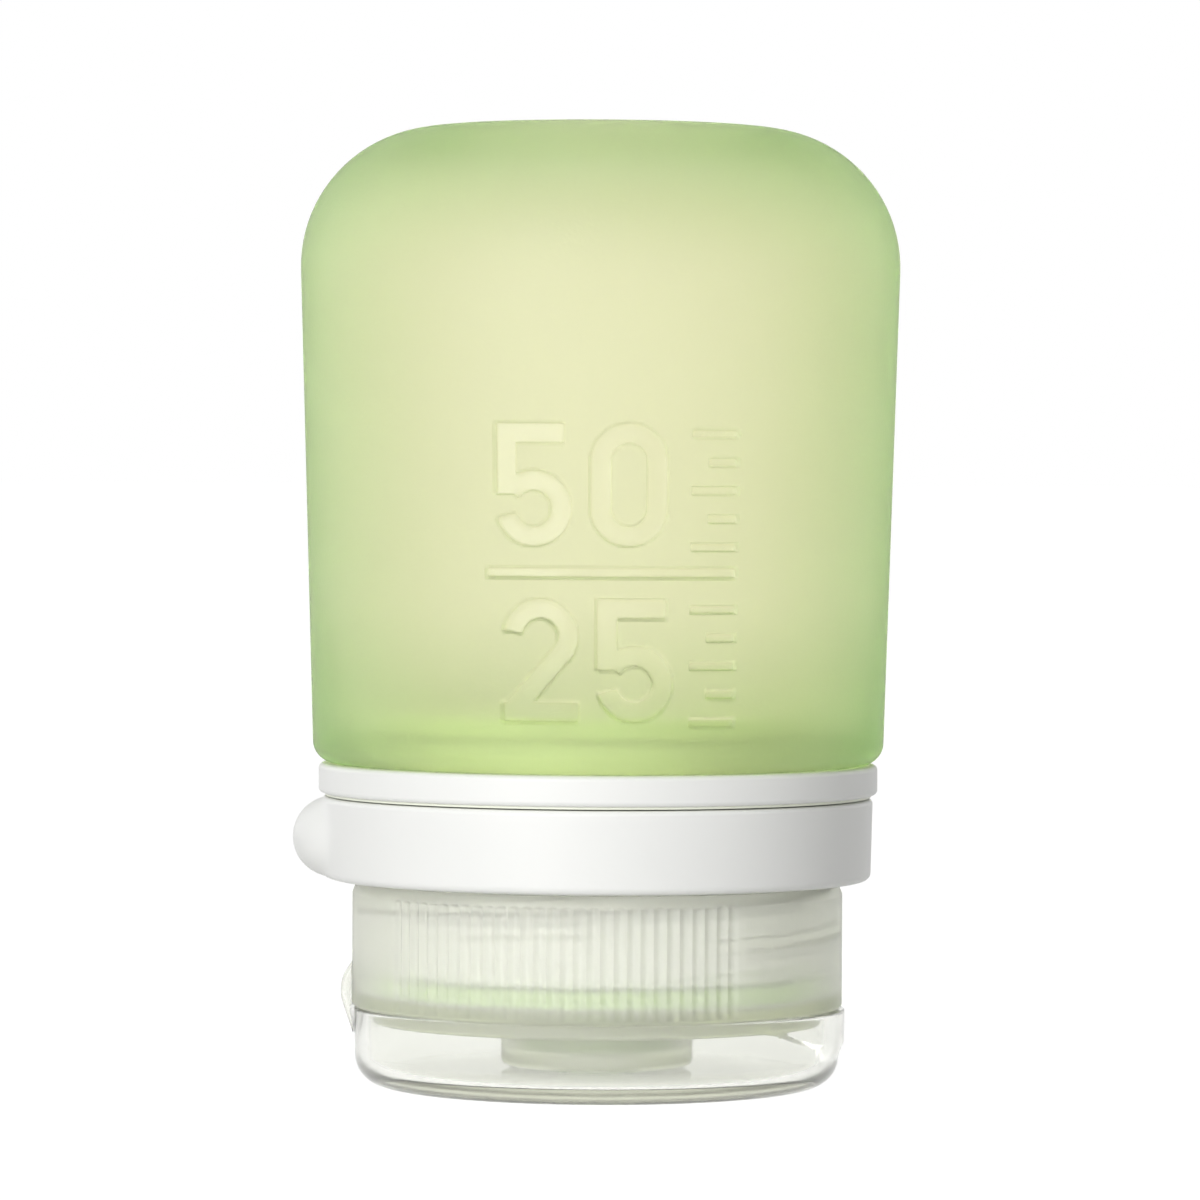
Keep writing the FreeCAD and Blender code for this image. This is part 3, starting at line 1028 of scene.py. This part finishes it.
@dataclass
class ScrewCap:
    """The screw cap with its grip ribs and inner thread, its seal, its valve and the snap ring."""

    cap_node: str = "cap_base"
    seal_node: str = "seal_ring"
    valve_node: str = "drip_valve"
    retainer_node: str = "valve_retainer"
    radius: float = 18.95 * MM
    bore_radius: float = 17.55 * MM
    shoulder: float = 6.1 * MM
    spigot_radius: float = 17.35 * MM
    deck_face: float = 4.9 * MM
    deck_back: float = 6.4 * MM
    land: float = 7.0 * MM
    land_width: float = 3.4 * MM
    boss_radius: float = 7.4 * MM
    pocket_radius: float = 6.15 * MM
    boss_floor: float = 1.3 * MM
    orifice_radius: float = 3.4 * MM
    chamfer_width: float = 0.35 * MM
    chamfer_height: float = 0.9 * MM
    edge_round: float = 0.3 * MM
    boss_round: float = 0.5 * MM
    ribs_per_side: int = 29
    rib_pitch: float = math.radians(3.05)
    rib_depth: float = 0.28 * MM
    rib_margin: float = 0.45 * MM
    rib_fullness: float = 0.7
    columns_per_rib: int = 8
    plain_columns: int = 40
    thread_turns: float = 1.3
    thread_step: float = 0.2 * MM
    seal_width: float = 2.9 * MM
    seal_round: float = 0.45 * MM
    seal_columns: int = 160
    dome_radius: float = 3.6 * MM
    dome_rise: float = 1.3 * MM
    dome_skin: float = 0.6 * MM
    valve_flange: float = 1.0 * MM
    slit_width: float = 0.2 * MM
    slit_length: float = 4.4 * MM
    valve_columns: int = 96
    valve_step: float = 0.5 * MM
    dome_points: int = 9
    retainer_wall: float = 1.7 * MM

    def angles(self) -> Array:
        """Columns round the cap, close together where the ribs are.

        Returns:
            Their angles round the axis.
        """
        half = self.ribs_per_side * self.rib_pitch / 2
        fine = self.ribs_per_side * self.columns_per_rib
        spans = []
        for side in (0.0, math.pi):
            spans.append(side + np.linspace(-half, half, fine, endpoint=False))
            plain = np.linspace(half, math.pi - half, self.plain_columns, endpoint=False)
            spans.append(side + plain)
        return np.concatenate(spans) + CAP_TURN

    def grooves(self, around: Array, radius: Array, height: Array) -> Array:
        """How deep the rounded grooves between the ribs are.

        Args:
            around: Angles round the axis.
            radius: Radii of the section's points.
            height: Their heights.

        Returns:
            The depth at each point, 0 away from the grips.
        """
        top = heights(self.cap_node)[1]
        turn = around - CAP_TURN
        from_side = np.abs((turn + math.pi / 2) % math.pi - math.pi / 2)
        half = self.ribs_per_side * self.rib_pitch / 2
        wave = (1 - np.cos(2 * math.pi * (from_side - half) / self.rib_pitch)) / 2
        depth = self.rib_depth * wave**self.rib_fullness * (from_side <= half)
        low, high = self.shoulder + self.rib_margin, top - self.chamfer_height
        ends = soft_step(np.minimum(height - low, high - height), self.rib_margin / 3)
        outside = soft_step(radius - self.radius + self.edge_round, self.edge_round / 4)
        return depth * ends * outside

    def cap(self) -> None:
        """Makes the cap with its ribs outside and its thread inside."""
        low, high = heights(self.cap_node)
        edge = self.edge_round
        outline = Outline([
            Corner(self.orifice_radius, low, edge),
            Corner(self.boss_radius, low, self.boss_round),
            Corner(self.boss_radius, self.deck_face, self.boss_round),
            Corner(self.spigot_radius, self.deck_face, edge),
            Corner(self.spigot_radius, self.shoulder, edge / 2),
            Corner(self.radius, self.shoulder, edge),
            Corner(self.radius, high - self.chamfer_height, edge),
            Corner(self.radius - self.chamfer_width, high, edge / 2),
            Corner(self.bore_radius, high, edge / 2),
            Corner(self.bore_radius, self.land, edge),
            Corner(self.bore_radius - self.land_width, self.land, edge / 2),
            Corner(self.bore_radius - self.land_width, self.deck_back, edge / 2),
            Corner(self.pocket_radius, self.deck_back, edge / 2),
            Corner(self.pocket_radius, low + self.boss_floor, edge / 2),
            Corner(self.orifice_radius, low + self.boss_floor, edge / 2),
        ], fine_step=self.thread_step, fine_low=self.land, fine_high=high)
        neck_end = heights(Neck.insert_node)[0]
        thread = ScrewThread(neck_end + Neck.thread_margin + THREAD_PITCH / 2, self.thread_turns)

        def shift(around: Array, radius: Array, height: Array) -> Array:
            """Sinks the grooves outside and raises the thread inside."""
            inside = (np.abs(radius - self.bore_radius) < edge / 2) & (height > self.land + edge)
            return -self.grooves(around, radius, height) - thread.ridge(around, height) * inside

        piece = turned("ribbed_cap", outline, self.angles(), shift)
        install(piece, FROSTED_RESIN, Body.CAP, self.cap_node)

    def seal(self) -> None:
        """Makes the flat silicone gasket."""
        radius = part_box(self.seal_node)[1].x
        install_ring(
            "silicone_seal", SEAL_SILICONE, Body.SEAL, self.seal_node,
            (radius - self.seal_width, radius), (self.seal_round,) * 4, self.seal_columns,
        )

    def valve(self) -> None:
        """Makes the slit valve: a flange round a thin dome."""
        low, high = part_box(self.valve_node)
        flange_top = low.z + self.valve_flange
        sphere = (self.dome_radius**2 + self.dome_rise**2) / (2 * self.dome_rise)
        widest = math.asin(self.dome_radius / sphere)
        turns = np.linspace(0, widest, self.dome_points)

        def dome(size: float, turn: float) -> Corner:
            """A point of the dome at that size, turned from its top."""
            return Corner(size * math.sin(turn), high.z - sphere + size * math.cos(turn))

        inner = sphere - self.dome_skin
        foot = self.dome_radius - self.dome_skin
        inner_turns = [t for t in turns if inner * math.sin(t) < foot]
        corners = [dome(sphere, t) for t in turns]
        corners += [
            Corner(high.x, flange_top, self.seal_round / 2),
            Corner(high.x, low.z + HAIR_GAP, self.seal_round / 2),
            Corner(foot, low.z + HAIR_GAP, self.seal_round / 2),
        ]
        corners += [dome(inner, t) for t in reversed(inner_turns)]
        outline = Outline(corners, closed=False, step=self.valve_step)
        piece = turned("slit_valve", outline, even_angles(self.valve_columns))
        self.slit(piece)
        install(piece, SEAL_SILICONE, Body.CAP, self.valve_node)

    def slit(self, piece: bpy.types.Object) -> None:
        """Cuts the crossed slit through the valve's dome.

        Args:
            piece: The valve.
        """
        low, high = heights(self.valve_node)
        knife = bmesh.new()
        middle = Vector((0, 0, (high + low) / 2 + self.valve_flange / 2))
        place = Matrix.Translation(middle) @ Matrix.Rotation(CAP_TURN, 4, "Z")
        for size in ((self.slit_length, self.slit_width), (self.slit_width, self.slit_length)):
            block = Matrix.Diagonal((*size, high - low, 1.0))
            bmesh.ops.create_cube(knife, size=1.0, matrix=place @ block)
        mesh = bpy.data.meshes.new("slit_knife")
        knife.to_mesh(mesh)
        knife.free()
        cutter = link("slit_knife", mesh)
        cut = piece.modifiers.new("slit", "BOOLEAN")
        cut.object = cutter
        cut.solver = "EXACT"
        cut.use_self = True
        shaped = piece.evaluated_get(bpy.context.evaluated_depsgraph_get())
        applied = bpy.data.meshes.new_from_object(shaped)
        piece.modifiers.clear()
        piece.data = applied
        bpy.data.objects.remove(cutter)

    def retainer(self) -> None:
        """Makes the snap ring behind the valve."""
        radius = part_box(self.retainer_node)[1].x
        install_ring(
            "valve_snap_ring", FROSTED_RESIN, Body.CAP, self.retainer_node,
            (radius - self.retainer_wall, radius),
            (self.edge_round / 2, self.edge_round) * 2, self.valve_columns,
        )

    def build(self) -> None:
        """Makes the cap and what it holds."""
        self.cap()
        self.seal()
        self.valve()
        self.retainer()


@dataclass
class FlipLid:
    """The clear lid with its thumb tab and plug, and the bow-shaped strap that hinges it."""

    lid_node: str = "flip_lid"
    strap_node: str = "hinge_strap"
    rim_radius: float = 18.8 * MM
    draft: float = 0.15 * MM
    wall: float = 1.1 * MM
    plate: float = 1.3 * MM
    edge_round: float = 2.3 * MM
    inner_round: float = 1.2 * MM
    rim_round: float = 0.22 * MM
    plug_radius: float = 3.1 * MM
    plug_wall: float = 0.8 * MM
    plug_entry: float = 0.7 * MM
    tab_reach: float = 0.4 * MM
    tab_drop: float = 2.95 * MM
    tab_half_angle: float = math.radians(44.0)
    tab_soft: float = 0.11 * MM
    tab_fullness: int = 4
    fine: float = 0.12 * MM
    columns: int = 240
    strap_reach: float = 0.85 * MM
    strap_shoulder: float = 1.2 * MM
    strap_bend: float = 0.7 * MM
    strap_foot: float = 0.6 * MM
    strap_relief: float = 0.15 * MM
    strap_round: float = 2.6 * MM
    strap_half_angle: float = math.radians(13.0)
    strap_fit: float = 0.05 * MM
    strap_step: float = 0.25 * MM
    strap_columns: int = 25

    def crescent(self, turn: Array) -> Array:
        """How far the thumb tab stands out of the wall, furthest in its middle.

        Args:
            turn: Angles from the tab's middle.

        Returns:
            The distance at each angle.
        """
        share = np.clip(np.abs(turn) / self.tab_half_angle, 0, 1)
        return self.tab_reach * (1 - share**self.tab_fullness)

    def thumb(self, around: Array, radius: Array, height: Array) -> Array:
        """Raises the thumb tab, which runs from the rim down to a smile-shaped edge.

        Args:
            around: Angles round the axis.
            radius: Radii of the section's points.
            height: Their heights.

        Returns:
            How far each point moves outwards.
        """
        rim = heights(self.lid_node)[1]
        turn = around - math.pi / 2 - CAP_TURN
        turn = (turn + math.pi) % (2 * math.pi) - math.pi
        half_chord = self.rim_radius * math.sin(self.tab_half_angle)
        smile_radius = (half_chord**2 + self.tab_drop**2) / (2 * self.tab_drop)
        across = np.clip(self.rim_radius * np.sin(turn), -half_chord, half_chord)
        smile = rim - self.tab_drop + smile_radius - np.sqrt(smile_radius**2 - across**2)
        raised = soft_step(height - smile - self.tab_soft, self.tab_soft)
        return self.crescent(turn) * raised * (radius > self.rim_radius - self.wall / 2)

    def lid(self) -> None:
        """Makes the lid and puts it on its body."""
        low, high = heights(self.lid_node)
        foot = self.rim_radius - self.draft
        edge = self.rim_round
        plug_inside = self.plug_radius - self.plug_wall
        plug_top = heights(ScrewCap.cap_node)[0] + self.plug_entry
        outline = Outline([
            Corner(0, low),
            Corner(foot, low, self.edge_round),
            Corner(self.rim_radius, high, edge),
            Corner(self.rim_radius - self.wall, high, edge),
            Corner(foot - self.wall, self.plate, self.inner_round),
            Corner(self.plug_radius, self.plate, edge),
            Corner(self.plug_radius, plug_top, edge),
            Corner(plug_inside, plug_top, edge),
            Corner(plug_inside, self.plate, edge),
            Corner(0, self.plate),
        ], closed=False, fine_step=self.fine,
            fine_low=high - self.tab_drop - self.rim_round, fine_high=high)
        angles = even_angles(self.columns) + CAP_TURN
        piece = turned("clear_flip_lid", outline, angles, self.thumb)
        install(piece, CLEAR_RESIN, Body.LID, self.lid_node)

    def strap(self) -> None:
        """Makes the living hinge between the cap and the lid."""
        low, high = heights(self.strap_node)
        reach = ScrewCap.radius + self.strap_reach
        on_cap = ScrewCap.radius + self.strap_fit
        on_lid = self.rim_radius + self.strap_fit
        rim = heights(self.lid_node)[1]
        root = ScrewCap.shoulder + self.strap_relief
        inner = on_cap + self.strap_relief
        outline = Outline([
            Corner(on_cap, high),
            Corner(on_cap, root),
            Corner(inner, rim - self.strap_relief, self.strap_relief),
            Corner(on_lid, low + self.strap_foot),
            Corner(on_lid, low),
            Corner(reach, rim + self.strap_bend, self.strap_round),
            Corner(reach, high - self.strap_shoulder, self.strap_round),
        ], step=self.strap_step)
        middle = CAP_TURN - math.pi / 2
        half = self.strap_half_angle
        angles = np.linspace(middle - half, middle + half, self.strap_columns)
        piece = turned("bow_hinge", outline, angles, whole=False)
        dress(piece, CLEAR_RESIN)
        place = (inner * math.sin(middle), -inner * math.cos(middle))
        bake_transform(piece)
        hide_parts(self.strap_node)
        LOG.info("%s: %d faces, between cap and lid", piece.name, len(piece.data.polygons))

    def build(self) -> None:
        """Makes the lid and its hinge."""
        self.lid()
        self.strap()


class Lamp(NamedTuple):
    """A tall soft lamp that faces the object: its middle, its width and height, its power."""

    name: str
    place: Place
    size: tuple[float, float]
    watts: float


@dataclass
class Studio:
    """The pale floor, the soft light and the camera at the photograph's angle."""

    floor_front: float = 0.34
    floor_back: float = 30.0
    floor_pale: float = 0.92
    floor_glow_share: float = 0.78
    floor_glow: float = 1.24
    floor_drop: float = 0.1 * MM
    ambient: float = 0.18
    lamps: tuple[Lamp, ...] = (
        Lamp("soft_key", (-0.70, -1.32, 0.48), (0.78, 1.45), 20.0),
        Lamp("soft_fill", (0.08, -1.5, 0.40), (0.72, 1.20), 5.0),
        Lamp("soft_back_0", (-1.05, 1.22, 0.5), (0.7, 1.2), 2.4),
        Lamp("soft_back_1", (1.05, 1.22, 0.5), (0.7, 1.2), 2.4),
    )
    aim_height: float = 37.46 * MM
    aim_right: float = 0.08 * MM
    camera_far: float = 0.48
    camera_rise: float = math.radians(1.153)
    camera_roll: float = math.radians(0.3)
    frame_width: float = 92.8 * MM
    sensor: float = 36.0

    def seen(self, shading: Shading) -> Wire:
        """Tells rays that look at the stage from light that bounces off it.

        Args:
            shading: The tree that asks.

        Returns:
            1 from the camera, from gloss and through clear pieces, otherwise 0.
        """
        camera, glossy, through = (
            shading.node("ShaderNodeLightPath", output=f"Is {kind} Ray")
            for kind in ("Camera", "Glossy", "Transmission")
        )
        return camera.most(glossy.most(through))

    def world(self) -> None:
        """Lights the object evenly, and shows white behind it."""
        world = bpy.data.worlds.new("studio")
        bpy.context.scene.world = world
        world.cycles.sampling_method = "NONE"
        shading = Shading.fresh(world)
        strength = self.seen(shading) * (1.0 - self.ambient) + self.ambient
        white = {"Color": (1, 1, 1, 1), "Strength": strength}
        light = shading.node("ShaderNodeBackground", None, white)
        shading.node("ShaderNodeOutputWorld", None, {"Surface": light})

    def floor(self) -> None:
        """Lays the pale floor, which keeps a faint shadow."""
        front, back = -self.floor_front, self.floor_back
        sheet = ((-back, front), (back, front), (back, back), (-back, back))
        corners = np.array([(x, y, -self.floor_drop) for x, y in sheet])
        piece = link_mesh("studio_floor", corners, [(0, 1, 2, 3)])
        made = bpy.data.materials.new("studio_floor")
        made.cycles.emission_sampling = "NONE"
        shading = Shading.fresh(made)
        pale = (self.floor_pale,) * 3
        plain = shading.node("ShaderNodeBsdfDiffuse", None, {"Color": (*pale, 1.0)})
        glow = shading.node("ShaderNodeEmission", None, {"Strength": self.floor_glow})
        share = self.seen(shading) * self.floor_glow_share
        both = shading.node("ShaderNodeMixShader", None, {0: share, 1: plain, 2: glow})
        shading.node("ShaderNodeOutputMaterial", None, {"Surface": both})
        piece.data.materials.append(made)

    def light(self) -> None:
        """Stands the lamps upright round the object."""
        for lamp in self.lamps:
            data = bpy.data.lights.new(lamp.name, "AREA")
            data.shape = "RECTANGLE"
            data.size, data.size_y = lamp.size
            data.energy = lamp.watts
            made = link(lamp.name, data)
            made.location = lamp.place
            aim = Vector((-lamp.place[0], -lamp.place[1], 0))
            made.rotation_euler = aim.to_track_quat("-Z", "Y").to_euler()

    def camera(self) -> None:
        """Sets the camera where the photograph was taken from."""
        data = bpy.data.cameras.new("photo_camera")
        data.sensor_width = self.sensor
        data.lens = self.sensor * self.camera_far / self.frame_width
        data.clip_end = self.floor_back * 2
        made = link("photo_camera", data)
        aim = Vector((self.aim_right, 0, self.aim_height))
        back = Vector((0, -math.cos(self.camera_rise), math.sin(self.camera_rise)))
        made.location = aim + back * self.camera_far
        upright = (-back).to_track_quat("-Z", "Y").to_matrix()
        made.rotation_euler = (upright @ Matrix.Rotation(self.camera_roll, 3, "Z")).to_euler()
        bpy.context.scene.camera = made

    def build(self) -> None:
        """Sets up the whole studio."""
        bpy.context.scene.view_settings.view_transform = "Standard"
        self.world()
        self.floor()
        self.light()
        self.camera()


def main() -> None:
    """Builds the bottle, piece by piece, and the studio round it."""
    logging.basicConfig(level=logging.INFO, format="%(name)s %(message)s")
    for assembly in (SqueezeBody(), Neck(), SwivelRing(), ScrewCap(), FlipLid(), Studio()):
        assembly.build()


if __name__ == "__main__":
    main()
